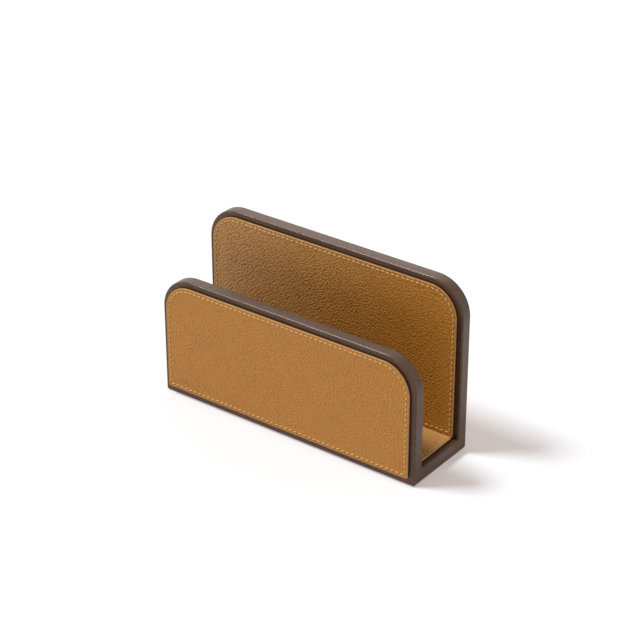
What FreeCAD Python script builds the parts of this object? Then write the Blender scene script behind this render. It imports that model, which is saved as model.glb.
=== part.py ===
import FreeCAD, Part
import math
import os
import Sketcher
from FreeCAD import Placement, Rotation, Vector

# Envelope holder: two upright boards of unlike height on a base board, each face lined with
# a stitched leather panel that stands a little proud of a narrow wooden rim.
# X runs along the holder, Y from its low front wall to its high back wall, Z is up.
# The origin is the middle of the underside, on the surface that the holder stands on.

doc = FreeCAD.newDocument("envelope_holder")

# Driving dimensions in millimetres
driving = {
    "holder_length": 240.0,
    "holder_depth": 70.0,
    "front_height": 104.0,
    "back_height": 142.0,
    "board_thickness": 10.5,
    "base_thickness": 11.2,
    "corner_radius": 28.5,
    "edge_ease": 1.5,
    "rim_width": 4.6,
    "foot_rim": 6.2,
    "panel_gap": 0.25,
    "recess_depth": 1.0,
    "leather_thickness": 1.4,
    "stiffener_thickness": 2.1,
    "panel_foot_radius": 2.0,
    "stitch_inset": 2.6,
    "foot_stitch_inset": 3.2,
    "stitch_over_base": 3.0,
    "stitch_end_margin": 1.0,
    "stitch_pitch": 4.5,
    "stitch_gap": 1.1,
    "thread_radius": 0.36,
    "dowel_diameter": 4.0,
    "dowel_in_wall": 6.5,
    "dowel_in_base": 13.5,
    "dowel_spacing": 48.0,
    "dowel_clearance": 0.1,
    "felt_margin": 5.0,
    "felt_radius": 3.0,
    "felt_thickness": 1.2,
    "felt_recess": 0.8,
}
DOWELS_PER_SIDE = 5
HEAD_SLANT = -8.0  # degrees that a stitch leans from its row, seen from outside
FOOT_SLANT = 10.0

sheet = doc.addObject("Spreadsheet::Sheet", "Sizes")
for row, (alias, number) in enumerate(driving.items(), start=1):
    sheet.set("A%d" % row, alias)
    sheet.set("B%d" % row, str(number))
    sheet.setAlias("B%d" % row, alias)
doc.recompute()


class Size:
    """A length worked out from the sheet: text is its expression there, value its number."""

    def __init__(self, text, value):
        self.text = text
        self.value = value

    def joined(self, sign, other, value):
        text = other.text if isinstance(other, Size) else str(other)
        return Size("(%s %s %s)" % (self.text, sign, text), value)

    def __add__(self, other):
        return self.joined("+", other, self.value + number_of(other))

    def __sub__(self, other):
        return self.joined("-", other, self.value - number_of(other))

    def __mul__(self, factor):
        return self.joined("*", factor, self.value * factor)

    def __neg__(self):
        return Size("(-1 * %s)" % self.text, -self.value)


def number_of(length_size):
    return length_size.value if isinstance(length_size, Size) else length_size


def size(alias):
    return Size("Sizes." + alias, driving[alias])


length = size("holder_length")
board = size("board_thickness")
rim = size("rim_width")
gap = size("panel_gap")
leather = size("leather_thickness")
panel_thickness = leather + size("stiffener_thickness")
half_depth = size("holder_depth") * 0.5
half_inside = half_depth - board
underside = size("felt_thickness") - size("felt_recess")
base_top = underside + size("base_thickness")
panel_width = length - rim * 2
panel_radius = size("corner_radius") - rim
panel_proud = panel_thickness - size("recess_depth")
base_panel_width = (half_inside - panel_proud - gap) * 2
nothing = Size("0", 0.0)


def bind(target, name, length_size):
    """Sets a property of an object to a length of the sheet."""
    target.setExpression(name, length_size.text)


# Outlines and slabs

def draw_outline(sketch, width, low, high, head_radius, foot_radius):
    """Draws a closed outline about the sketch's upright axis, with round corners at its head
    and, where foot_radius is given, at its foot. All sizes are constraints bound to the sheet."""
    half = width.value / 2
    bottom = low.value
    top = high.value
    head = head_radius.value
    foot = foot_radius.value if foot_radius else 0.0
    corners = [
        # centre x, centre y, radius, start of the arc in quarter turns
        (half - head, top - head, head, 0),
        (head - half, top - head, head, 1),
    ]
    if foot_radius:
        corners.append((foot - half, bottom + foot, foot, 2))
        corners.append((half - foot, bottom + foot, foot, 3))
    points = {
        "right": (Vector(half, bottom + foot, 0), Vector(half, top - head, 0)),
        "top": (Vector(half - head, top, 0), Vector(head - half, top, 0)),
        "left": (Vector(-half, top - head, 0), Vector(-half, bottom + foot, 0)),
        "bottom": (Vector(foot - half, bottom, 0), Vector(half - foot, bottom, 0)),
    }
    lines = {}
    for side, (start, end) in points.items():
        lines[side] = sketch.addGeometry(Part.LineSegment(start, end), False)
    arcs = []
    for x, y, radius, turn in corners:
        circle = Part.Circle(Vector(x, y, 0), Vector(0, 0, 1), radius)
        arc = Part.ArcOfCircle(circle, turn * math.pi / 2, (turn + 1) * math.pi / 2)
        arcs.append(sketch.addGeometry(arc, False))

    def constrain(*values):
        return sketch.addConstraint(Sketcher.Constraint(*values))

    def constrain_to(name, length_size, *values):
        index = constrain(*values, length_size.value)
        sketch.renameConstraint(index, name)
        bind(sketch, "Constraints." + name, length_size)

    constrain("Tangent", lines["right"], 2, arcs[0], 1)
    constrain("Tangent", arcs[0], 2, lines["top"], 1)
    constrain("Tangent", lines["top"], 2, arcs[1], 1)
    constrain("Tangent", arcs[1], 2, lines["left"], 1)
    if foot_radius:
        constrain("Tangent", lines["left"], 2, arcs[2], 1)
        constrain("Tangent", arcs[2], 2, lines["bottom"], 1)
        constrain("Tangent", lines["bottom"], 2, arcs[3], 1)
        constrain("Tangent", arcs[3], 2, lines["right"], 1)
        constrain("Equal", arcs[2], arcs[3])
        constrain_to("foot_radius", foot_radius, "Radius", arcs[2])
    else:
        constrain("Coincident", lines["left"], 2, lines["bottom"], 1)
        constrain("Coincident", lines["bottom"], 2, lines["right"], 1)
    constrain("Vertical", lines["right"])
    constrain("Vertical", lines["left"])
    constrain("Horizontal", lines["top"])
    constrain("Equal", arcs[0], arcs[1])
    constrain("Symmetric", lines["bottom"], 1, lines["bottom"], 2, -2)
    constrain_to("head_radius", head_radius, "Radius", arcs[0])
    constrain_to("width", width, "DistanceX", lines["left"], 2, lines["right"], 1)
    constrain_to("high", high, "DistanceY", -1, 1, lines["top"], 1)
    constrain_to("low", low, "DistanceY", -1, 1, lines["bottom"], 1)


def slab(name, plane, start, thickness, width, low, high, head_radius, foot_radius=None):
    """Makes a Body: an outline on the named origin plane, moved to start along the plane's
    axis and padded from there by thickness towards the positive axis."""
    body = doc.addObject("PartDesign::Body", name)
    sketch = body.newObject("Sketcher::SketchObject", name + "_outline")
    origin_plane = [f for f in body.Origin.OriginFeatures if f.Role == plane][0]
    sketch.AttachmentSupport = [(origin_plane, "")]
    sketch.MapMode = "FlatFace"
    # The sketch's own axis points to -Y on the upright plane, and to +Z on the level one.
    upright = plane == "XZ_Plane"
    bind(sketch, ".AttachmentOffset.Base.z", -start if upright else start)
    draw_outline(sketch, width, low, high, head_radius, foot_radius)
    pad = body.newObject("PartDesign::Pad", name + "_pad")
    pad.Profile = sketch
    pad.Reversed = upright
    bind(pad, "Length", thickness)
    body.Tip = pad
    return body


def fused(name, parts):
    result = doc.addObject("Part::MultiFuse", name)
    result.Shapes = parts
    return result


def cut(name, base, tool):
    result = doc.addObject("Part::Cut", name)
    result.Base = base
    result.Tool = tool
    return result


# Leather panels: where each lies, and which way its face looks

class Panel:
    """A leather-covered panel. seat is the recess floor's place along the axis across it, and
    facing is 1 or -1, the way that its leather looks along that axis."""

    def __init__(self, name, plane, seat, facing, width, low, high, head_radius, foot_row=None):
        self.name = name
        self.plane = plane
        self.seat = seat
        self.facing = facing
        self.width = width
        self.low = low
        self.high = high
        self.head_radius = head_radius
        self.foot_radius = size("panel_foot_radius")
        # Where the row of stitches along the foot runs, or None on a panel sewn at its ends only
        self.foot_row = foot_row

    def layer(self, name, thickness, grow=nothing):
        """A slab of the panel's outline, grown or drawn in all round, on the recess floor."""
        start = self.seat if self.facing > 0 else self.seat - thickness
        return slab(
            name, self.plane, start, thickness, self.width + grow * 2, self.low - grow,
            self.high + grow, self.head_radius + grow, self.foot_radius + grow,
        )

    def face(self):
        """The place of the leather's face along the axis across the panel."""
        return self.seat.value + self.facing * panel_thickness.value


def wall_panel(name, seat, facing, low, wall_height, foot_row):
    high = underside + wall_height - rim
    return Panel(
        name, "XZ_Plane", seat, facing, panel_width, low, high, panel_radius, foot_row,
    )


recess = size("recess_depth")
front_height = size("front_height")
back_height = size("back_height")
outer_low = underside + size("foot_rim")
outer_row = outer_low + size("foot_stitch_inset")
# The inner panels reach down behind the base panel, so their row is sewn higher up to show
inner_low = base_top + gap
inner_row = base_top + panel_proud + size("stitch_over_base")
panels = [
    wall_panel("front_outer", recess - half_depth, -1, outer_low, front_height, outer_row),
    wall_panel("front_inner", -half_inside - recess, 1, inner_low, front_height, inner_row),
    wall_panel("back_inner", half_inside + recess, -1, inner_low, back_height, inner_row),
    wall_panel("back_outer", half_depth - recess, 1, outer_low, back_height, outer_row),
    Panel(
        "base", "XY_Plane", base_top - recess, 1, panel_width,
        base_panel_width * -0.5, base_panel_width * 0.5, size("panel_foot_radius"),
    ),
]

# Wooden frame: three boards, eased as one, then parted at the joints

def bare_board(name, front_face, height):
    return slab(
        name, "XZ_Plane", front_face, board, length, underside, underside + height,
        size("corner_radius"),
    )


def bare_base():
    box = doc.addObject("Part::Box", "bare_base")
    bind(box, "Length", length)
    bind(box, "Width", half_inside * 2)
    bind(box, "Height", size("base_thickness"))
    bind(box, ".Placement.Base.x", length * -0.5)
    bind(box, ".Placement.Base.y", -half_inside)
    bind(box, ".Placement.Base.z", underside)
    return box


def is_outer_edge(edge):
    """True for each edge to ease: all but the inner corners along the base board, and the
    seams across a board's thickness where a round corner runs into a straight side."""
    box = edge.BoundBox
    near = 1e-6
    along_x = box.YLength < near and box.ZLength < near
    along_y = box.XLength < near and box.ZLength < near
    if along_x and abs(box.ZMin - base_top.value) < near:
        return False
    return not (along_y and box.ZMin > base_top.value + near)


bare_frame = fused("bare_frame", [
    bare_board("bare_front", -half_depth, front_height),
    bare_board("bare_back", half_inside, back_height),
    bare_base(),
])
bare_frame.Refine = True
doc.recompute()

eased_frame = doc.addObject("Part::Fillet", "eased_frame")
eased_frame.Base = bare_frame
ease = driving["edge_ease"]
eased_frame.Edges = [
    (index, ease, ease)
    for index, edge in enumerate(bare_frame.Shape.Edges, start=1)
    if is_outer_edge(edge)
]

# Dowels that hold each wall to the base board's edge

def dowel_row(name, side, clearance):
    """Cylinders across one joint. side is -1 at the front wall and 1 at the back wall."""
    dowels = []
    for place in range(DOWELS_PER_SIDE):
        dowel = doc.addObject("Part::Cylinder", "%s_%d" % (name, place + 1))
        total = size("dowel_in_wall") + size("dowel_in_base") + clearance * 2
        bind(dowel, "Radius", size("dowel_diameter") * 0.5 + clearance)
        bind(dowel, "Height", total)
        steps_from_middle = place - (DOWELS_PER_SIDE - 1) / 2
        inner_end = half_inside - size("dowel_in_base") - clearance
        start = inner_end if side > 0 else -inner_end - total
        bind(dowel, ".Placement.Base.x", size("dowel_spacing") * steps_from_middle)
        bind(dowel, ".Placement.Base.y", start)
        bind(dowel, ".Placement.Base.z", underside + size("base_thickness") * 0.5)
        dowel.Placement.Rotation = Rotation(Vector(0, 0, 1), Vector(0, 1, 0))
        dowels.append(dowel)
    row = doc.addObject("Part::Compound", name)
    row.Links = dowels
    return row


nodes = []


def keep(obj, node):
    """Names a finished sub-part."""
    obj.Label = node
    nodes.append(obj)
    return obj


keep(dowel_row("front_dowel_row", -1, nothing), "front_dowels")
keep(dowel_row("back_dowel_row", 1, nothing), "back_dowels")

# Felt under the holder, let into all three boards

def felt_slab(name, start, thickness, grow):
    half_width = half_depth - size("felt_margin") + grow
    return slab(
        name, "XY_Plane", start, thickness, length - size("felt_margin") * 2 + grow * 2,
        -half_width, half_width, size("felt_radius") + grow, size("felt_radius") + grow,
    )


felt = felt_slab("felt_sheet", nothing, size("felt_thickness"), nothing)
keep(felt, "underside_felt")

# Recesses and bores, cut from the frame before it is parted
tools = [panel.layer(panel.name + "_recess", recess, gap) for panel in panels]
tools.append(felt_slab("felt_recess_tool", underside, size("felt_recess"), gap))
tools.append(dowel_row("front_bores", -1, size("dowel_clearance")))
tools.append(dowel_row("back_bores", 1, size("dowel_clearance")))
carcass = cut("carcass", eased_frame, fused("cutters", tools))


def part_off(node, start, width):
    """Keeps the part of the frame between two upright planes as a board of its own."""
    zone = doc.addObject("Part::Box", node + "_zone")
    bind(zone, "Length", length + rim * 2)
    bind(zone, "Width", width)
    bind(zone, "Height", back_height * 2)
    bind(zone, ".Placement.Base.x", length * -0.5 - rim)
    bind(zone, ".Placement.Base.y", start)
    piece = doc.addObject("Part::Common", node + "_board")
    piece.Base = carcass
    piece.Tool = zone
    keep(piece, node)


part_off("front_wall", -half_depth, board)
part_off("base_board", -half_inside, half_inside * 2)
part_off("back_wall", half_inside, board)

# Leather wrapped over a stiff board

def faces_out(face, panel):
    """True for the panel's outer face."""
    box = face.BoundBox
    low, high = (box.YMin, box.YMax) if panel.plane == "XZ_Plane" else (box.ZMin, box.ZMax)
    return abs(low - panel.face()) < 1e-6 and abs(high - panel.face()) < 1e-6


for panel in panels:
    stiffener = panel.layer(panel.name + "_stiff", size("stiffener_thickness"), -leather)
    keep(stiffener, panel.name + "_stiffener")
    blank = panel.layer(panel.name + "_blank", panel_thickness)
    doc.recompute()
    pad = blank.Tip
    names = [
        "Face%d" % index
        for index, face in enumerate(pad.Shape.Faces, start=1)
        if faces_out(face, panel)
    ]
    rolled = blank.newObject("PartDesign::Fillet", panel.name + "_rolled_edge")
    rolled.Base = (pad, names)
    bind(rolled, "Radius", leather)
    blank.Tip = rolled
    keep(cut(panel.name + "_cover", blank, stiffener), panel.name + "_leather")

# Stitching: separate half-round stitches that lie on the leather

def stitch_runs(panel):
    """The rows of stitches on a panel as wires in its own plane, each with the slant of its
    stitches: from foot to foot over the head and along the foot, or, on the base panel, a
    straight row at each end."""
    inset = driving["stitch_inset"]
    half = panel.width.value / 2 - inset
    if panel.foot_row is None:
        low = panel.low.value + driving["stitch_end_margin"]
        high = panel.high.value - driving["stitch_end_margin"]
        return [
            (Part.Wire([Part.LineSegment(Vector(x, low, 0), Vector(x, high, 0)).toShape()]),
             HEAD_SLANT)
            for x in (-half, half)
        ]
    low = panel.foot_row.value
    high = panel.high.value - inset
    radius = panel.head_radius.value - inset
    feet = [Vector(-half, low, 0), Vector(half, low, 0)]
    bend = radius * (1 - 0.5 ** 0.5)
    left_arc = Part.Arc(
        Vector(-half, high - radius, 0), Vector(bend - half, high - bend, 0),
        Vector(radius - half, high, 0),
    )
    right_arc = Part.Arc(
        Vector(half - radius, high, 0), Vector(half - bend, high - bend, 0),
        Vector(half, high - radius, 0),
    )
    over_head = [
        Part.LineSegment(feet[0], left_arc.StartPoint),
        left_arc,
        Part.LineSegment(left_arc.EndPoint, right_arc.StartPoint),
        right_arc,
        Part.LineSegment(right_arc.EndPoint, feet[1]),
    ]
    return [
        (Part.Wire([edge.toShape() for edge in over_head]), HEAD_SLANT),
        (Part.Wire([Part.LineSegment(*feet).toShape()]), FOOT_SLANT),
    ]


def on_panel(panel, point, lift=0.0):
    """A point of the panel's plane, on its leather face or lifted off it."""
    across = panel.face() + panel.facing * lift
    if panel.plane == "XZ_Plane":
        return Vector(point.x, across, point.y)
    return Vector(point.x, point.y, across)


def stitches(panel):
    outward = on_panel(panel, Vector(), 1.0) - on_panel(panel, Vector())
    solids = []
    for run, slant in stitch_runs(panel):
        lean = Rotation(outward, slant)
        count = round(run.Length / driving["stitch_pitch"])
        holes = run.discretize(Number=count + 1)
        for start, end in zip(holes, holes[1:]):
            along = on_panel(panel, end) - on_panel(panel, start)
            thread_length = along.Length - driving["stitch_gap"]
            along = lean.multVec(along.normalize())
            across = outward.cross(along)
            middle = on_panel(panel, (start + end) * 0.5)
            turn = Rotation(across, outward, along, "ZYX")
            stitch = Part.makeCylinder(
                driving["thread_radius"], thread_length, Vector(), Vector(0, 0, 1), 180,
            )
            stitch.Placement = Placement(middle - along * (thread_length / 2), turn)
            solids.append(stitch)
    return Part.makeCompound(solids)


for panel in panels:
    thread = doc.addObject("Part::Feature", panel.name + "_thread")
    thread.Shape = stitches(panel)
    thread.Placement = Placement()
    keep(thread, panel.name + "_stitching")

doc.recompute()

for obj in doc.Objects:
    if {"Invalid", "Error"} & set(obj.State):
        raise RuntimeError("%s is %s" % (obj.Name, obj.State))
for node in nodes:
    if node.Shape.isNull() or not node.Shape.isValid():
        raise RuntimeError("%s has no valid shape" % node.Label)

os.makedirs("parts", exist_ok=True)
for node in nodes:
    node.Shape.exportStep("parts/%s.step" % node.Label)
    box = node.Shape.BoundBox
    print("%-24s %4d solids %10.1f mm3  x %.1f..%.1f  y %.2f..%.2f  z %.2f..%.2f" % (
        node.Label, len(node.Shape.Solids), node.Shape.Volume,
        box.XMin, box.XMax, box.YMin, box.YMax, box.ZMin, box.ZMax,
    ))
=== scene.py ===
# Envelope holder: leather panels, their stitching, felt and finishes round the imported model
from math import cos, pi, radians, sin

import bpy
import numpy as np
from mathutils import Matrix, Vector


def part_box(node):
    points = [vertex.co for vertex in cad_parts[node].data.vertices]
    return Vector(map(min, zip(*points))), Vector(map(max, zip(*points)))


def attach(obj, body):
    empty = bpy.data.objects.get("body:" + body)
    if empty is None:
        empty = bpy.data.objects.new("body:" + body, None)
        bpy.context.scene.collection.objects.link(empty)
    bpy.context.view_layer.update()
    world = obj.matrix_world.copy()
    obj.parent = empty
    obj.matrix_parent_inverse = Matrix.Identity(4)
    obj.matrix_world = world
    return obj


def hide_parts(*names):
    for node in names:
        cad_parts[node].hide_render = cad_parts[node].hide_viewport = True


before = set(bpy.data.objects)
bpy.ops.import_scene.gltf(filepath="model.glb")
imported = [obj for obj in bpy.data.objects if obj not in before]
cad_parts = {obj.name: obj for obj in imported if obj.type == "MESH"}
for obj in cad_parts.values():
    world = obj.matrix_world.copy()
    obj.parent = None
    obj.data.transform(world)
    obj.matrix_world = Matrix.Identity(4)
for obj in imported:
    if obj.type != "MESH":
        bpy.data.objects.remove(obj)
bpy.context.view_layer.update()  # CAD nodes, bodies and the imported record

mm = 0.001
scene = bpy.context.scene
scene.view_settings.view_transform = "Standard"


# Camera: where the photograph was taken from, at its 29 degrees down
cameraView = dict(
    eye=(0.8194, -1.0878, 0.8336),
    tilt=61.27,  # degrees up from looking straight down
    turn=36.75,  # degrees round from looking along +Y
    lens=114.5,  # millimetres, like the sensor's width
    sensor=36,
    nearest=0.05,
    farthest=50,
)


def makeCamera():
    data = bpy.data.cameras.new("photographView")
    data.lens = cameraView["lens"]
    data.sensor_width = cameraView["sensor"]
    data.clip_start = cameraView["nearest"]
    data.clip_end = cameraView["farthest"]
    camera = bpy.data.objects.new("photographView", data)
    camera.location = cameraView["eye"]
    camera.rotation_euler = (radians(cameraView["tilt"]), 0, radians(cameraView["turn"]))
    scene.collection.objects.link(camera)
    scene.camera = camera


makeCamera()
print("camera placed")


# Shader maths: a Wire holds one socket, and an expression on wires adds its Math nodes
class Wire:
    def __init__(self, finish, socket):
        self.finish = finish
        self.socket = socket

    def __add__(self, other):
        return self.finish.maths("ADD", self, other)

    def __radd__(self, other):
        return self.finish.maths("ADD", other, self)

    def __sub__(self, other):
        return self.finish.maths("SUBTRACT", self, other)

    def __rsub__(self, other):
        return self.finish.maths("SUBTRACT", other, self)

    def __mul__(self, other):
        return self.finish.maths("MULTIPLY", self, other)

    def __rmul__(self, other):
        return self.finish.maths("MULTIPLY", other, self)

    def __pow__(self, other):
        return self.finish.maths("POWER", self, other)

    # Another output of the same node
    def also(self, name):
        return Wire(self.finish, self.socket.node.outputs[name])


# A Finish is one node tree being wired up, of a material or of the world
class Finish:
    def __init__(self, owner):
        self.owner = owner
        owner.use_nodes = True
        self.tree = owner.node_tree
        self.tree.nodes.clear()

    def node(self, kind, settings=None, sockets=None, output=0):
        made = self.tree.nodes.new("ShaderNode" + kind)
        for name, setting in (settings or {}).items():
            setattr(made, name, setting)
        for key, value in (sockets or {}).items():
            self.feed(made.inputs[key], value)
        return Wire(self, made.outputs[output]) if made.outputs else None

    def feed(self, socket, value):
        if isinstance(value, Wire):
            self.tree.links.new(value.socket, socket)
        else:
            socket.default_value = value

    def maths(self, operation, *values):
        return self.node("Math", {"operation": operation}, dict(enumerate(values)))

    def vector(self, operation, *values):
        return self.node("VectorMath", {"operation": operation}, dict(enumerate(values)))

    # 0 below the first value, 1 above the second, smooth between them
    def step(self, value, start, end):
        return self.node("MapRange", {"interpolation_type": "SMOOTHSTEP"},
                         {"Value": value, "From Min": start, "From Max": end})

    # The first colour where the factor is 0, the second where it is 1
    def blend(self, factor, first, second):
        return self.node("Mix", {"data_type": "RGBA"}, {0: factor, 6: first, 7: second}, output=2)

    def noise(self, place, size, detail=2.0, roughness=0.5):
        return self.node("TexNoise", None, {
            "Vector": place, "Scale": 1 / size, "Detail": detail, "Roughness": roughness})

    def here(self):
        return self.node("TexCoord", output="Object")

    def attribute(self, name):
        return self.node("Attribute", {"attribute_name": name}, output="Fac")

    def split(self, vector):
        parts = self.node("SeparateXYZ", None, {0: vector})
        return parts, parts.also("Y"), parts.also("Z")

    # Height in, tilted normal out: depth is the height's real range in metres
    def bump(self, height, depth, below=None):
        sockets = {"Height": height, "Distance": depth, "Strength": 1.0}
        if below is not None:
            sockets["Normal"] = below
        return self.node("Bump", None, sockets)

    def surface(self, **sockets):
        named = {name.replace("_", " "): value for name, value in sockets.items()}
        shader = self.node("BsdfPrincipled", None, named)
        self.node("OutputMaterial", None, {"Surface": shader})
        return self.owner


def startFinish(name):
    return Finish(bpy.data.materials.new(name))


# Full grain calf leather: creases darker than the skin between them, partly their own tone and
# partly painted shade of relief finer than the mesh, darker fine dimples of painted shade, fine
# pores, a paler edge that is partly burnished and partly a painted highlight, a dark side below
# the roll and a needle hole at each end of every stitch, darkened by painted shade
leatherLook = dict(
    face=(0.405, 0.168, 0.018, 1),
    pale=(0.455, 0.202, 0.030, 1),
    crease=(0.185, 0.060, 0.004, 1),
    paleAndSheenColour=(0.470, 0.250, 0.075, 1),
    roll=(0.420, 0.260, 0.120, 1),
    darkSide=(0.036, 0.013, 0.004, 1),
    creaseToneAndShadeShare=0.75,
    creaseHeights=(0.12, 1.10),  # of grain, between which a crease fades out where it is weak
    creaseFocus=0.48,  # taken off the upper height where the grain is strong
    dimpleHeights=(0.34, 0.60),
    dimpleLeast=0.2,  # share of the dimples that is left in the weakest grain
    rollBurnishAndHighlightShare=0.55,
    rollWidth=0.6,  # millimetres of face that the paler edge, partly a painted highlight, takes up
    darkSideFrom=(-0.55, -1.1),  # millimetres down the side, where the darkening starts and is full
    fineSize=(1.25, 0.95, 1),  # millimetres along and beside the ridges
    dimpleShadeShare=0.45,
    fineDepth=0.35 * mm,
    pore=0.35 * mm,
    poreDepth=0.015 * mm,
    cloud=34 * mm,
    hole=(0.20, 0.60),  # millimetres, the radii of a needle hole's floor and rim
    holeShadeShare=0.35,
    holeDepth=0.25 * mm,
    roughness=0.46,
    reflection=0.35,
)


def leatherFinish():
    look = leatherLook
    finish = startFinish("tanLeather")
    place = finish.here()
    grain = finish.node("UVMap", {"uv_map": "grain"})
    fine = finish.noise(finish.vector("DIVIDE", grain, look["fineSize"]), 1.0, 0.0)
    pores = finish.noise(place, look["pore"])
    cloud = finish.noise(place, look["cloud"], 3.0)

    # Stronger grain has darker creases with a clearer edge: partly the leather's tone, partly
    # painted shade of its relief
    strength = finish.attribute("strength")
    ridge = finish.attribute("ridge") + (fine - 0.5) * 0.5
    floor, top = look["creaseHeights"]
    valley = (1 - finish.step(ridge, floor, top - strength * look["creaseFocus"])) * strength
    least = look["dimpleLeast"]
    dimple = (1 - finish.step(fine, *look["dimpleHeights"])) * (least + strength * (1 - least))

    # The seam map holds the stitch number along a row, whole at each hole, and the millimetres
    # beside the row
    run, offRow, _ = finish.split(finish.node("UVMap", {"uv_map": "seam"}))
    offHole = finish.maths("PINGPONG", run, 0.5) * (seam["pitch"] / mm)
    hole = 1 - finish.step((offHole * offHole + offRow * offRow) ** 0.5, *look["hole"])
    inset = finish.attribute("inset")
    darkStart, darkFull = look["darkSideFrom"]
    darkSideShare = 1 - finish.step(inset, darkFull, darkStart)
    edgeBurnishAndHighlight = 1 - finish.step(inset, 0.0, look["rollWidth"])

    shade = finish.blend(cloud * 0.6 + fine * 0.4, look["face"], look["pale"])
    # Paler where each cut's share says so; at the inner back panel's left end this is a painted
    # reflection of the lit floor
    shade = finish.blend(finish.attribute("paleAndSheen"), shade, look["paleAndSheenColour"])
    # Creases darker: partly the leather's tone, partly painted shade
    shade = finish.blend(valley * look["creaseToneAndShadeShare"], shade, look["crease"])
    # Fine dimples darker: painted shade of grain too fine for the mesh
    shade = finish.blend(dimple * look["dimpleShadeShare"], shade, look["crease"])
    # Edge paler: partly burnish, partly a painted highlight
    shade = finish.blend(edgeBurnishAndHighlight * look["rollBurnishAndHighlightShare"], shade, look["roll"])
    # Needle holes darker: painted shade
    shade = finish.blend(hole * look["holeShadeShare"], shade, look["crease"])
    shade = finish.blend(darkSideShare, shade, look["darkSide"])
    raised = finish.bump(fine * strength, look["fineDepth"])
    raised = finish.bump(pores, look["poreDepth"], raised)
    raised = finish.bump(1 - hole, look["holeDepth"], raised)
    return finish.surface(
        Base_Color=shade,
        Roughness=look["roughness"] + valley * 0.15 + (cloud - 0.5) * 0.12,
        Normal=raised,
        Specular_IOR_Level=look["reflection"],
    )


# Dark stained open pored hardwood, satin: streaks and fine pores along the boards' length
woodLook = dict(
    dark=(0.050, 0.022, 0.011, 1),
    light=(0.082, 0.039, 0.021, 1),
    pore=(0.020, 0.009, 0.005, 1),
    streak=(60 * mm, 2.2 * mm, 2.2 * mm),
    poreSize=(6 * mm, 0.60 * mm, 0.60 * mm),
    poreDepth=0.02 * mm,
    roughness=0.44,
    coat=0.22,
    coatRoughness=0.14,
    reflection=0.35,
    reflectionTint=(1.0, 0.84, 0.68, 1),
)


def woodFinish(name, look):
    finish = startFinish(name)
    place = finish.here()
    stretched = finish.vector("DIVIDE", place, look["streak"])
    streak = finish.noise(stretched, 1.0, 5.0, 0.62)
    bands = finish.noise(stretched, 4.5, 2.0)
    fine = finish.vector("DIVIDE", place, look["poreSize"])
    pores = finish.noise(fine, 1.0, 2.0, 0.6)
    opened = 1 - finish.step(pores, 0.30, 0.44)
    lighter = finish.step(streak * 0.65 + bands * 0.35, 0.32, 0.68)
    shade = finish.blend(lighter, look["dark"], look["light"])
    shade = finish.blend(opened * 0.8, shade, look["pore"])
    normal = finish.bump(1 - opened, look["poreDepth"])
    return finish.surface(
        Base_Color=shade,
        Roughness=look["roughness"] + opened * 0.2 + (streak - 0.5) * 0.15,
        Normal=normal,
        Coat_Weight=look["coat"],
        Coat_Roughness=look["coatRoughness"],
        Specular_IOR_Level=look["reflection"],
        Specular_Tint=look["reflectionTint"],
    )


# Waxed linen thread of two twisted strands, with darker stripes along the twist: painted shade in
# the grooves between the strands
threadLook = dict(
    lit=(0.80, 0.50, 0.19, 1),
    strandGrooveShade=(0.54, 0.30, 0.10, 1),
    turns=3.0,
    fuzz=0.12 * mm,
    fuzzDepth=0.03 * mm,
    roughness=0.62,
)


def threadFinish():
    look = threadLook
    finish = startFinish("waxedThread")
    along, around, _ = finish.split(finish.node("UVMap", {"uv_map": "strand"}))
    # Stripes along the twist: the grooves between the strands darker, painted shade
    ridge = finish.maths("PINGPONG", along * look["turns"] + around * 2, 1.0)
    fuzz = finish.noise(finish.here(), look["fuzz"])
    lighter = finish.step(ridge, 0.0, 0.5) * (0.7 + fuzz * 0.3)
    return finish.surface(
        Base_Color=finish.blend(lighter, look["strandGrooveShade"], look["lit"]),
        Roughness=look["roughness"] + (fuzz - 0.5) * 0.2,
        Normal=finish.bump(fuzz, look["fuzzDepth"]),
    )


# Pressed wool felt
feltLook = dict(
    dark=(0.020, 0.014, 0.011, 1),
    light=(0.060, 0.044, 0.035, 1),
    clump=2.4 * mm,
    fibre=0.25 * mm,
    depth=0.25 * mm,
    roughness=0.92,
)


def feltFinish():
    look = feltLook
    finish = startFinish("woolFelt")
    place = finish.here()
    clumps = finish.noise(place, look["clump"], 4.0, 0.65)
    fibres = finish.noise(place, look["fibre"], 3.0, 0.7)
    lighter = finish.step(clumps * 0.5 + fibres * 0.5, 0.30, 0.70)
    return finish.surface(
        Base_Color=finish.blend(lighter, look["dark"], look["light"]),
        Roughness=look["roughness"] + (fibres - 0.5) * 0.1,
        Normal=finish.bump(fibres * 0.7 + clumps * 0.3, look["depth"]),
        Sheen_Weight=0.35,
        Sheen_Roughness=0.5,
    )


# The stiff board inside each panel: pressed flakes
boardLook = dict(
    dark=(0.150, 0.105, 0.066, 1),
    light=(0.290, 0.215, 0.145, 1),
    flake=0.9 * mm,
    cloud=6 * mm,
    depth=0.1 * mm,
    roughness=0.8,
)


def boardFinish():
    look = boardLook
    finish = startFinish("fibreboard")
    place = finish.here()
    cells = {"Vector": place, "Scale": 1 / look["flake"]}
    shades = finish.node("TexVoronoi", None, cells, "Color")
    flake = finish.node("SeparateColor", None, {0: shades})
    cloud = finish.noise(place, look["cloud"], 3.0)
    return finish.surface(
        Base_Color=finish.blend(flake * 0.6 + cloud * 0.4, look["dark"], look["light"]),
        Roughness=look["roughness"] + (cloud - 0.5) * 0.1,
        Normal=finish.bump(cloud, look["depth"]),
    )


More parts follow.
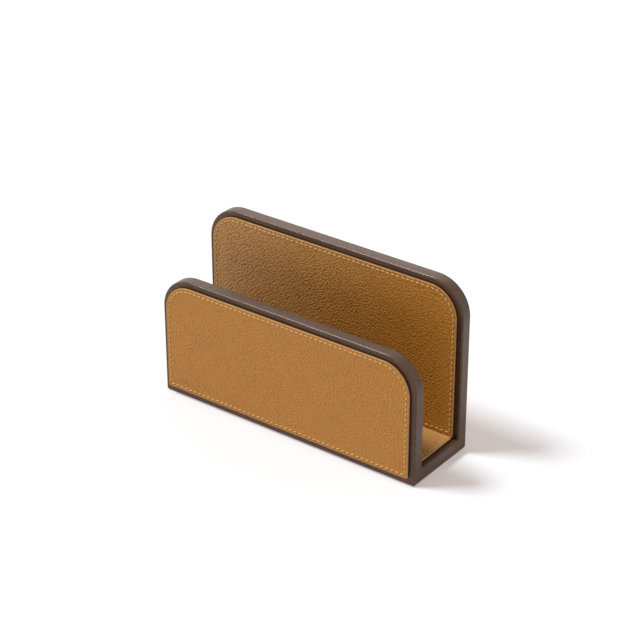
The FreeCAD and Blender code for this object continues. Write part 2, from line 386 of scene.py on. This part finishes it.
# Beech, bare, for the dowels: the wood finish with streaks and pores along Y
beechLook = dict(
    dark=(0.370, 0.210, 0.105, 1),
    light=(0.560, 0.360, 0.200, 1),
    pore=(0.200, 0.090, 0.040, 1),
    streak=(1.1 * mm, 14 * mm, 1.1 * mm),
    poreSize=(0.25 * mm, 2.5 * mm, 0.25 * mm),
    poreDepth=0.03 * mm,
    roughness=0.55,
    coat=0.0,
    coatRoughness=0.3,
    reflection=0.35,
    reflectionTint=(1.0, 1.0, 1.0, 1),
)


# Leather panels: which way each one faces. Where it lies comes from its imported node.
panelWays = {  # across and up, so that across x up points out of the leather
    "front_outer": ((1, 0, 0), (0, 0, 1)),
    "front_inner": ((-1, 0, 0), (0, 0, 1)),
    "back_inner": ((1, 0, 0), (0, 0, 1)),
    "back_outer": ((-1, 0, 0), (0, 0, 1)),
    "base": ((1, 0, 0), (0, 1, 0)),
}
leather = dict(
    headRadius=28.5 * mm,  # of the boards' upper corners, round which the rim is even
    footRadius=2.0 * mm,
    thickness=1.4 * mm,
    edgeRoll=0.60 * mm,
    bandStep=0.45 * mm,  # of the mesh, from the edge to bandPast beyond the stitches
    bandPast=1.9 * mm,
    squaredPast=5 * mm,  # beyond the stitches, where the rings have become square
    squaredLeast=12 * mm,  # and how far from the edge that is at least
    faceFrom=1.2 * mm,  # the grain is at its full depth this far in
    level=0.75,  # grain height that lies level with the smooth skin
    crown=0.12 * mm,
    crownReach=14 * mm,
)
seam = dict(
    inset=2.6 * mm,
    footInset=3.2 * mm,  # of the outer panels' lower row
    overBase=3.0 * mm,  # the inner panels' lower row, above the base leather
    endMargin=1.0 * mm,  # from the base panel's long edges to its rows' ends
    pitch=4.5 * mm,
    headSlant=-8,  # degrees that a stitch leans from its row, seen from outside
    footSlant=10,
    grooveDepth=0.16 * mm,
    grooveWidth=0.60 * mm,
    pucker=0.05 * mm,
    puckerOff=1.2 * mm,  # from the row towards the edge
    puckerWidth=0.8 * mm,
    calm=0.7,  # share of the grain that the pull of the stitches flattens
    calmWidth=1.6 * mm,
    overrun=0.12,  # in stitches, how far the groove goes on past a row's end
    none=99 * mm,  # stands for a distance where no row or edge is near
)
# Grain, one cut of the hide for each panel
grainCuts = {
    "front_outer": dict(
        step=0.60 * mm,  # of the mesh
        cell=1.65 * mm,  # from ridge to ridge
        stretch=1.0,  # a ridge's length in cells
        lean=102,  # a ridge's direction in degrees up from the panel's length
        turned=(0.15, 0.25),  # share of the second set of ridges at the panel's two ends
        wander=8 * mm,  # how far slow noise pushes the ridges about
        depth=0.52 * mm,
        strength=0.25,  # of the creases' darkness, which is partly painted shade, highest where light grazes the panel
        paleAndSheen=(0.06, 0.06),  # share of the paler colour at the panel's two ends, a painted reflection on the inner back panel
    ),
    "front_inner": dict(
        step=0.62 * mm, cell=1.8 * mm, stretch=1.0, lean=60, turned=(0.15, 0.5),
        wander=7 * mm, depth=0.46 * mm, strength=0.60, paleAndSheen=(0.0, 0.0)),
    # Inner back: paler at its left end, a painted reflection of the lit floor
    "back_inner": dict(
        step=0.68 * mm, cell=1.6 * mm, stretch=1.1, lean=52, turned=(0.15, 0.75),
        wander=6 * mm, depth=0.50 * mm, strength=0.85, paleAndSheen=(1.0, 0.0)),
    "back_outer": dict(
        step=0.69 * mm, cell=1.8 * mm, stretch=0.9, lean=75, turned=(0.1, 0.3),
        wander=8 * mm, depth=0.46 * mm, strength=0.32, paleAndSheen=(0.06, 0.06)),
    "base": dict(
        step=0.60 * mm, cell=1.9 * mm, stretch=1.5, lean=24, turned=(0.3, 0.5),
        wander=5 * mm, depth=0.12 * mm, strength=0.25, paleAndSheen=(1.0, 1.0)),
}
grainLook = dict(
    endToEnd=180 * mm,  # over which a cut's pair of end values gives over
    drift=26 * mm,  # size of the slow noise
    patchy=0.5,  # how much slow noise changes the second set's share
    slip=0.37,  # how far neighbouring rows slip past each other, in ridge lengths
    secondCell=1.1,  # in the first set's cells
    secondTurn=70,  # degrees from the first set
    thirdCell=0.7,
    thirdStretch=1.3,
    thirdTurn=30,
    thirdShare=0.2,
    middle=0.55,  # height where all sets are level
    contrast=0.95,
)


class Panel:
    def __init__(self, node, across, up, headRadius, footRadius, footRow=None):
        low, high = (np.array(corner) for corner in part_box(node))
        self.across = np.array(across, float)
        self.up = np.array(up, float)
        self.out = np.cross(self.across, self.up)
        self.half = np.abs([(high - low) @ self.across, (high - low) @ self.up]) / 2
        self.thick = abs((high - low) @ self.out)
        self.seat = (low + high) / 2 - self.out * self.thick / 2
        self.radii = (footRadius, footRadius, headRadius, headRadius)
        self.footRow = None if footRow is None else footRow - self.seat @ self.up

    # Local (across, up, height) to the holder's own frame
    def place(self, points):
        ways = np.stack([self.across, self.up, self.out])
        return self.seat + points @ ways

    # One side of a rounded rectangle set in from the outline, as a fine line from the middle
    # of one corner's arc to the middle of the next: half an arc, a straight, half an arc
    def side(self, number, inset, radii):
        corners = np.array([(-1, -1), (1, -1), (1, 1), (-1, 1)])
        halfArc = np.linspace(0, pi / 4, 40)
        line = []
        for corner, start in ((number, pi / 4), ((number + 1) % 4, 0)):
            turn = pi + corner * pi / 2 + start + halfArc
            centre = corners[corner] * (self.half - inset - radii[corner])
            circle = np.stack([np.cos(turn), np.sin(turn)], 1)
            line.append(centre + radii[corner] * circle)
        return np.concatenate(line)

    # The lines that the stitches follow: over the head from foot to foot and along the foot,
    # or a straight one at each end where the panel has no row along its foot. What the sides
    # and the corners have below the row along the foot is left out.
    def seamLines(self):
        x, y = self.half - (seam["inset"], seam["endMargin"])
        if self.footRow is None:
            return [np.array([(end * x, -end * y), (end * x, end * y)]) for end in (1, -1)]
        row = self.footRow
        radii = np.maximum(np.array(self.radii) - seam["inset"], 0)
        over = np.concatenate([self.side(number, seam["inset"], radii) for number in (1, 2, 3)])
        over = over[over[:, 1] > row + 0.01 * mm]
        return [np.concatenate([[(x, row)], over, [(-x, row)]]), np.array([(-x, row), (x, row)])]


# Points evenly spaced by length along a line
def spread(line, count):
    steps = np.linalg.norm(np.diff(line, axis=0), axis=1)
    travelled = np.concatenate([[0], np.cumsum(steps)])
    wanted = np.linspace(0, travelled[-1], count + 1)
    return np.stack([np.interp(wanted, travelled, line[:, axis]) for axis in (0, 1)], 1)


def lengthOf(line):
    return np.linalg.norm(np.diff(line, axis=0), axis=1).sum()


# Goes from 0 to 1 as the value does, level at both ends: 3t^2 - 2t^3
def smooth(value):
    value = np.clip(value, 0, 1)
    return value * value * (3 - 2 * value)


# Smooth noise from -0.5 to 0.5: random heights on a unit lattice that repeats after 64,
# blended between the corners of each square
def latticeNoise(x, y, seed):
    repeat = 64
    heights = np.random.default_rng(seed).random((repeat, repeat))
    column, row = np.floor(x).astype(int), np.floor(y).astype(int)
    tx, ty = smooth(x - column), smooth(y - row)
    left, right, near, far = (place % repeat for place in (column, column + 1, row, row + 1))
    lower = heights[left, near] * (1 - tx) + heights[right, near] * tx
    upper = heights[left, far] * (1 - tx) + heights[right, far] * tx
    return lower * (1 - ty) + upper * ty - 0.5


# A value that goes over from one at the panel's left end to another at its right end
def acrossPanel(ends, x):
    return ends[0] + (ends[1] - ends[0]) * smooth(0.5 + x / grainLook["endToEnd"])


# Ridges that run along one direction: lattice noise on rows half a ridge apart, less the mean of
# the rows on either side of it, so that only the row to row change is left
def ridges(x, y, cell, stretch, lean, seed):
    lean = radians(lean)
    along = (x * cos(lean) + y * sin(lean)) / (cell * stretch)
    beside = (y * cos(lean) - x * sin(lean)) / (cell / 2)
    beside = beside + latticeNoise(along * 0.9, beside * 0.35, seed)  # the rows waver
    slip = latticeNoise(along * 0.7, np.floor(beside), seed + 9)
    along = along + grainLook["slip"] * slip
    rows = [latticeNoise(along, beside + row, seed + 1) for row in (-1, 0, 1)]
    return rows[1] - (rows[0] + rows[2]) / 2


# Grain: a set of ridges that lean one way gives over, across the panel, to a set turned from it
# by a large angle, in coordinates that slow noise pushes about. Where both have their share the
# ridges break up into pebbles, and a weak third set breaks them up further. Gives a height from
# 0 in a crease to 1 on a ridge, and the place along and beside the first set in millimetres.
def grainOf(cut, x, y, seed):
    look = grainLook
    cell, stretch, lean = cut["cell"], cut["stretch"], cut["lean"]
    drift = look["drift"]
    x = x + cut["wander"] * latticeNoise(x / drift, y / drift, seed)
    y = y + cut["wander"] * latticeNoise(x / drift, y / drift, seed + 1)
    patches = look["patchy"] * latticeNoise(x / drift, y / drift, seed + 2)
    share = np.clip(acrossPanel(cut["turned"], x) + patches, 0, 1)
    first = ridges(x, y, cell, stretch, lean, seed + 3)
    second = ridges(x, y, cell * look["secondCell"], stretch, lean - look["secondTurn"], seed + 5)
    third = ridges(x, y, cell * look["thirdCell"], look["thirdStretch"],
                   lean - look["thirdTurn"], seed + 8)
    both = np.sqrt(1 - share) * first + np.sqrt(share) * second
    height = look["middle"] + look["contrast"] * both + look["thirdShare"] * third
    turned = np.exp(-1j * radians(lean)) * (x + 1j * y) / mm
    return np.clip(height, 0, 1), np.stack([turned.real, turned.imag], 1)


# The rings of a skin, from its inner face down to its foot, up its side, round its edge and in
# over its face. Each row has the inset from the outline, the height over the seat, the cut and
# the share that make its corner radii, (natural radius - cut) x share, and the distance from the
# edge along the skin, which is negative down the side
def skinRings(panel, wall, roll, bandEnd, squareEnd, bandStep, faceStep):
    top = panel.thick
    foot = -9 * mm  # as good as far from the edge, on the rings that don't show
    rows = [(wall, top - wall, wall, 1, foot), (wall, 0, wall, 1, foot), (0, 0, 0, 1, foot)]
    for share in (0.33, 0.67):
        down = (1 - share) * (top - roll)
        rows.append((0, top - roll - down, 0, 1, roll - roll * pi / 2 - down))
    for turn in np.linspace(0, pi / 2, 6):
        inset = roll * (1 - cos(turn))
        along = roll - roll * (pi / 2 - turn)
        rows.append((inset, top - roll * (1 - sin(turn)), inset, 1, along))
    for inset in np.arange(roll + bandStep, bandEnd, bandStep):
        rows.append((inset, top, inset, 1, inset))
    squaring = squareEnd - bandEnd
    for share in np.linspace(0, 1, round(squaring / faceStep)):
        inset = bandEnd + share * squaring
        rows.append((inset, top, bandEnd, 1 - share, inset))
    return rows


# The whole skin: rings round the edge, then a square grid inside the last, squared ring. Gives
# the local points, the quads, the lid over the first ring, and for each point its distance from
# the edge, the side that it is on (-1 in the grid) and its share of the way along that side
def skinSurface(panel, rows, step):
    wide = round(2 * panel.half[0] / step)
    high = round(2 * panel.half[1] / step)
    counts = (wide, high, wide, high)
    around = sum(counts)
    natural = np.array(panel.radii)
    rings = []
    for inset, height, cut, share, _ in rows:
        radii = np.maximum(natural - cut, 0) * share
        ring = np.concatenate([
            spread(panel.side(number, inset, radii), count)[:-1]
            for number, count in enumerate(counts)])
        rings.append(np.column_stack([ring, np.full(around, height)]))
    rings = np.array(rings)

    inner = rings[-1]
    xs = np.linspace(inner[0, 0], inner[wide, 0], wide + 1)[1:-1]
    ys = np.linspace(inner[wide, 1], inner[wide + high, 1], high + 1)[1:-1]
    gridX, gridY = np.meshgrid(xs, ys, indexing="ij")
    middle = np.column_stack([gridX.ravel(), gridY.ravel(), np.full(gridX.size, panel.thick)])
    points = np.concatenate([rings.reshape(-1, 3), middle])
    none = np.full(len(middle), -1)
    distance = np.repeat([row[-1] for row in rows], around)
    distance = np.concatenate([distance, np.full(len(middle), seam["none"])])
    number = np.concatenate([np.tile(np.repeat(range(4), counts), len(rows)), none])
    share = np.concatenate([np.arange(count) / count for count in counts])
    share = np.concatenate([np.tile(share, len(rows)), none])

    index = np.arange(len(rows) * around).reshape(len(rows), around)
    index = np.column_stack([index, index[:, 0]])
    ringQuads = np.stack([index[:-1, :-1], index[:-1, 1:], index[1:, 1:], index[1:, :-1]], -1)
    last = index[-1]
    grid = np.zeros((wide + 1, high + 1), int)
    grid[1:-1, 1:-1] = len(rows) * around + np.arange(len(middle)).reshape(wide - 1, high - 1)
    grid[:, 0] = last[:wide + 1]
    grid[-1, :] = last[wide:wide + high + 1]
    grid[::-1, -1] = last[wide + high:2 * wide + high + 1]
    grid[0, ::-1] = last[2 * wide + high:]
    gridQuads = np.stack([grid[:-1, :-1], grid[1:, :-1], grid[1:, 1:], grid[:-1, 1:]], -1)
    quads = np.concatenate([ringQuads.reshape(-1, 4), gridQuads.reshape(-1, 4)])
    return points, quads, index[0, :-1][::-1], distance, number, share


# Where each point lies on the nearest row of stitches: the stitch number along it and the
# distance beside it. Points with no row near them get a large distance.
def seamPlaces(panel, points, distance, number, share):
    x, y = points[:, 0], points[:, 1]
    lines = panel.seamLines()
    lengths = [lengthOf(line) for line in lines]
    counts = [round(length / seam["pitch"]) for length in lengths]
    run = np.zeros(len(points))
    beside = np.full(len(points), seam["none"])
    off = distance - seam["inset"]
    if panel.footRow is None:
        ends = (number == 1) | (number == 3)
        run[ends] = (np.sign(x[ends]) * y[ends] / lengths[0] + 0.5) * counts[0]
        beside[ends] = off[ends]
    else:
        radii = np.maximum(np.array(panel.radii) - seam["inset"], 0)
        sides = [panel.side(side, seam["inset"], radii) for side in (1, 2, 3)]
        sideLengths = [lengthOf(side) for side in sides]
        before = (lengths[0] - sum(sideLengths)) / 2  # below 0 where the rows start higher up
        for side, length in zip((1, 2, 3), sideLengths):
            on = number == side
            run[on] = (before + share[on] * length) / lengths[0] * counts[0]
            beside[on] = off[on]
            before += length
        nearFoot = np.abs(y - panel.footRow) < np.abs(beside)
        run[nearFoot] = (x[nearFoot] / lengths[1] + 0.5) * counts[1]
        beside[nearFoot] = (y - panel.footRow)[nearFoot]
        counts = np.where(nearFoot, counts[1], counts[0])
    last = counts[0] if panel.footRow is None else counts
    past = (run < -seam["overrun"]) | (run > last + seam["overrun"])
    beside[past | (distance < -1 * mm)] = seam["none"]
    return run, beside


# uvs and attributes hold a value for each point, spread to the corners of its faces for uvs
def makePiece(name, points, faces, finish, uvs=None, attributes=None):
    mesh = bpy.data.meshes.new(name)
    mesh.from_pydata(points.tolist(), [], faces)
    corners = np.concatenate([np.ravel(face) for face in faces]) if uvs else None
    for layerName, values in (uvs or {}).items():
        layer = mesh.uv_layers.new(name=layerName)
        layer.data.foreach_set("uv", values[corners].astype(np.float32).ravel())
    for layerName, values in (attributes or {}).items():
        layer = mesh.attributes.new(layerName, "FLOAT", "POINT")
        layer.data.foreach_set("value", values.astype(np.float32))
    mesh.materials.append(finish)
    mesh.shade_smooth()
    mesh.update()
    piece = bpy.data.objects.new(name, mesh)
    scene.collection.objects.link(piece)
    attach(piece, "root")
    return piece


# Heights above the smooth skin: grain, a groove that the stitches pull down, a slight pucker
# on its outer side and a low crown inside it
def skinRelief(depth, grain, distance, run, beside):
    face = smooth(distance / leather["faceFrom"])
    nearHole = 0.5 + 0.5 * np.cos(2 * pi * run)
    groove = np.exp(-(beside / seam["grooveWidth"]) ** 2) * (0.5 + 0.5 * nearHole)
    puff = np.exp(-((beside + seam["puckerOff"]) / seam["puckerWidth"]) ** 2) * (0.5 - nearHole)
    calm = 1 - seam["calm"] * np.exp(-(beside / seam["calmWidth"]) ** 2)
    crown = smooth((distance - seam["inset"]) / leather["crownReach"])
    height = depth * (grain - leather["level"]) * calm - seam["grooveDepth"] * groove
    return face * (height + seam["pucker"] * puff + leather["crown"] * crown)


# A panel's leather: the skin of its packed cover's size, lifted by the relief
def leatherPanel(name, seed, finish):
    across, up = panelWays[name]
    low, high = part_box(name + "_leather")
    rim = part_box("base_board")[1].x - high.x
    footRadius = leather["footRadius"]
    headRadius = footRadius if name == "base" else leather["headRadius"] - rim
    footRow = None
    if name.endswith("_outer"):
        footRow = low.z + seam["footInset"]
    elif name.endswith("_inner"):
        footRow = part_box("base_leather")[1].z + seam["overBase"]
    panel = Panel(name + "_leather", across, up, headRadius, footRadius, footRow)
    deepest = seam["inset"] if footRow is None else footRow - low.z
    bandEnd = deepest + leather["bandPast"]
    squareEnd = max(leather["squaredLeast"], deepest + leather["squaredPast"])
    cut = grainCuts[name]
    rows = skinRings(panel, leather["thickness"], leather["edgeRoll"], bandEnd, squareEnd,
                     leather["bandStep"], cut["step"])
    points, quads, lid, distance, number, share = skinSurface(panel, rows, cut["step"])
    run, beside = seamPlaces(panel, points, distance, number, share)
    grain, grainPlace = grainOf(cut, points[:, 0], points[:, 1], seed)
    points[:, 2] += skinRelief(cut["depth"], grain, distance, run, beside)
    faces = quads.tolist() + [lid.tolist()]
    skin = makePiece(
        name + "_leather_skin", panel.place(points), faces, finish,
        uvs={"seam": np.stack([run, beside / mm], 1), "grain": grainPlace},
        attributes={"ridge": grain, "strength": np.full(len(points), cut["strength"]),
                    "paleAndSheen": acrossPanel(cut["paleAndSheen"], points[:, 0]), "inset": distance / mm})
    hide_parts(name + "_leather")
    print("leather", name, len(quads), "quads")
    return panel


# A stitch: a two strand thread that climbs out of one hole and dives into the next. Its
# section is a circle with two ridges that twist along it.
thread = dict(
    radius=0.31 * mm,
    gap=1.15 * mm,  # between the ends of two stitches
    lift=0.12 * mm,
    dive=0.55 * mm,
    ridge=0.10,
    twist=1.4,  # turns in one stitch
    taper=0.45,  # share of the radius that is lost at the ends
    around=8,
    along=8,
)


# One stitch about its middle, as rings of points and their places along and round it. With end
# as the distance from the middle, 0 to 1, the thread sinks by its fifth power and thins by its
# sixth, and the ridges swell the radius by the cosine of twice the angle less the twist.
def stitchShape(length):
    t = np.linspace(0, 1, thread["along"] + 1)
    angle = np.arange(thread["around"]) * 2 * pi / thread["around"] - pi / 2
    t, angle = np.meshgrid(t, angle, indexing="ij")
    end = np.abs(2 * t - 1)
    radius = thread["radius"] * (1 - thread["taper"] * end ** 6)
    radius = radius * (1 + thread["ridge"] * np.cos(2 * (angle - 2 * pi * thread["twist"] * t)))
    height = thread["lift"] - thread["dive"] * end ** 5
    shape = [(t - 0.5) * length, radius * np.cos(angle), height + radius * np.sin(angle)]
    return np.stack(shape, -1), np.stack([t, angle / (2 * pi) + 0.25], -1)


# The stitches of a panel: one shape set on the middle between each two holes of its rows, turned
# along the row and by the slant
def stitching(name, panel, finish):
    shape, strand = stitchShape(seam["pitch"] - thread["gap"])
    rings, around = shape.shape[:2]
    middles, directions = [], []
    for place, line in enumerate(panel.seamLines()):
        holes = spread(line, round(lengthOf(line) / seam["pitch"]))
        step = np.diff(holes, axis=0)
        step = step / np.linalg.norm(step, axis=1)[:, None]
        foot = panel.footRow is not None and place == 1
        slant = radians(seam["footSlant"] if foot else seam["headSlant"])
        turn = np.array([(cos(slant), sin(slant)), (-sin(slant), cos(slant))])
        middles.append((holes[:-1] + holes[1:]) / 2)
        directions.append(step @ turn)
    middles, along = np.concatenate(middles), np.concatenate(directions)
    beside = np.stack([-along[:, 1], along[:, 0]], 1)
    flat = middles[:, None, None] + shape[..., 0:1] * along[:, None, None]
    flat = flat + shape[..., 1:2] * beside[:, None, None]
    height = np.broadcast_to(panel.thick + shape[..., 2:3], flat.shape[:-1] + (1,))
    points = np.concatenate([flat, height], -1).reshape(-1, 3)

    index = np.arange(rings * around).reshape(rings, around)
    caps = np.stack([index[0], index[-1][::-1]])
    index = np.column_stack([index, index[:, 0]])
    quads = np.stack([index[:-1, :-1], index[1:, :-1], index[1:, 1:], index[:-1, 1:]], -1)
    offsets = np.arange(len(middles))[:, None, None] * rings * around
    quads = (quads.reshape(-1, 4) + offsets).reshape(-1, 4)
    caps = (caps + offsets).reshape(-1, around)
    piece = makePiece(name + "_stitches", panel.place(points), quads.tolist() + caps.tolist(),
                      finish, {"strand": np.tile(strand.reshape(-1, 2), (len(middles), 1))})
    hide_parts(name + "_stitching")
    print("stitches", name, len(middles))


# Felt: a pad with a soft, slightly uneven face, let into the underside
felt = dict(
    radius=3 * mm,
    meshStep=1.4 * mm,
    edgeRoll=0.35 * mm,
    bandEnd=1.5 * mm,
    bandStep=0.5 * mm,
    squareEnd=9 * mm,
    faceFrom=1.0 * mm,
    unevenness=0.12 * mm,
    swell=6 * mm,
    lump=1.7 * mm,
)


def feltPad(finish):
    panel = Panel("underside_felt", (-1, 0, 0), (0, 1, 0), felt["radius"], felt["radius"])
    rows = skinRings(panel, panel.thick / 2, felt["edgeRoll"], felt["bandEnd"], felt["squareEnd"],
                     felt["bandStep"], felt["meshStep"])
    solid = rows[2:]  # without the two rings inside, so that the lid closes it below
    points, quads, lid, distance, _, _ = skinSurface(panel, solid, felt["meshStep"])
    x, y = points[:, 0], points[:, 1]
    slow = latticeNoise(x / felt["swell"], y / felt["swell"], 71)
    quick = latticeNoise(x / felt["lump"], y / felt["lump"], 72)
    face = smooth(distance / felt["faceFrom"])
    points[:, 2] -= felt["unevenness"] * face * (0.5 + 0.6 * slow + 0.4 * quick)
    faces = quads.tolist() + [lid.tolist()]
    pad = makePiece("underside_felt_pad", panel.place(points), faces, finish)
    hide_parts("underside_felt")
    print("felt pad", len(quads), "quads")


tanLeather = leatherFinish()
waxedThread = threadFinish()
for place, name in enumerate(panelWays):
    firstSeed = 11 * place + 3  # of the panel's own grain
    panel = leatherPanel(name, firstSeed, tanLeather)
    stitching(name, panel, waxedThread)
feltPad(feltFinish())


# Finishes of the pieces that stay as packed
def dressNodes():
    stained = woodFinish("stainedWood", woodLook)
    board = boardFinish()
    beech = woodFinish("beech", beechLook)
    for name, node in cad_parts.items():
        if name in ("front_wall", "back_wall", "base_board"):
            chosen = stained
        elif name.endswith("_stiffener"):
            chosen = board
        elif name.endswith("_dowels"):
            chosen = beech
        else:
            continue
        for slot in node.material_slots:
            slot.material = chosen
    print("packed nodes dressed")


dressNodes()


# Studio: a white floor and surround, a key from high on the left in front and low broad fills.
# The lens sees the lit floor just over white and its shadow warm, and the object is lit by a
# dimmer surround and a plainer floor than the lens sees
studio = dict(
    ambient=0.38,
    ambientColour=(1.0, 0.94, 0.88, 1),
    bounceColour=(0.895, 0.850, 0.838, 1),
    seenColour=(0.545, 0.606, 0.658, 1),
    seenGlow=(0.355, 0.288, 0.256, 1),
    floorReach=6.0,
)
# A distant lamp: source points to it over the floor, height is its degrees above the floor and
# angle the degrees that it looks wide
lamps = {
    "key": dict(source=(-0.857, -0.515), height=57, angle=16, strength=3.0),
    "left": dict(source=(-0.95, -0.30), height=20, angle=50, strength=0.15),
    "back": dict(source=(-0.50, 0.87), height=32, angle=50, strength=0.40),
    "right": dict(source=(0.98, 0.20), height=25, angle=60, strength=0.25),
}


def whiteToLens(finish):
    path = finish.node("LightPath")
    seen = [path.also(name) for name in ("Is Camera Ray", "Is Glossy Ray", "Is Transmission Ray")]
    return finish.maths("MAXIMUM", finish.maths("MAXIMUM", seen[0], seen[1]), seen[2])


def makeWorld():
    world = bpy.data.worlds.new("studioWhite")
    scene.world = world
    finish = Finish(world)
    dim = finish.node("Background", None, {
        "Color": studio["ambientColour"], "Strength": studio["ambient"]})
    white = finish.node("Background", None, {"Color": (1, 1, 1, 1), "Strength": 1.0})
    mixed = finish.node("MixShader", None, {0: whiteToLens(finish), 1: dim, 2: white})
    finish.node("OutputWorld", None, {"Surface": mixed})


def makeFloor():
    reach = studio["floorReach"]
    corners = [(-reach, -reach, 0), (reach, -reach, 0), (reach, reach, 0), (-reach, reach, 0)]
    mesh = bpy.data.meshes.new("studioFloor")
    mesh.from_pydata(corners, [], [(0, 1, 2, 3)])
    finish = startFinish("floorWhite")
    bounce = finish.node("BsdfDiffuse", None, {"Color": studio["bounceColour"]})
    seen = finish.node("BsdfDiffuse", None, {"Color": studio["seenColour"]})
    glow = finish.node("Emission", None, {"Color": studio["seenGlow"], "Strength": 1.0})
    both = finish.node("AddShader", None, {0: seen, 1: glow})
    shown = finish.node("MixShader", None, {0: whiteToLens(finish), 1: bounce, 2: both})
    finish.node("OutputMaterial", None, {"Surface": shown})
    mesh.materials.append(finish.owner)
    floor = bpy.data.objects.new("studioFloor", mesh)
    scene.collection.objects.link(floor)


def makeLamp(name, source, height, angle, strength):
    data = bpy.data.lights.new(name, "SUN")
    data.angle = radians(angle)
    data.energy = strength
    lamp = bpy.data.objects.new(name, data)
    up = radians(height)
    away = Vector((source[0] * cos(up), source[1] * cos(up), sin(up)))
    lamp.location = away  # a distant lamp shines along its turn alone, wherever it stands
    lamp.rotation_euler = away.to_track_quat("Z", "Y").to_euler()
    scene.collection.objects.link(lamp)


makeWorld()
makeFloor()
for lampName, lamp in lamps.items():
    makeLamp(lampName, **lamp)
print("studio lit")
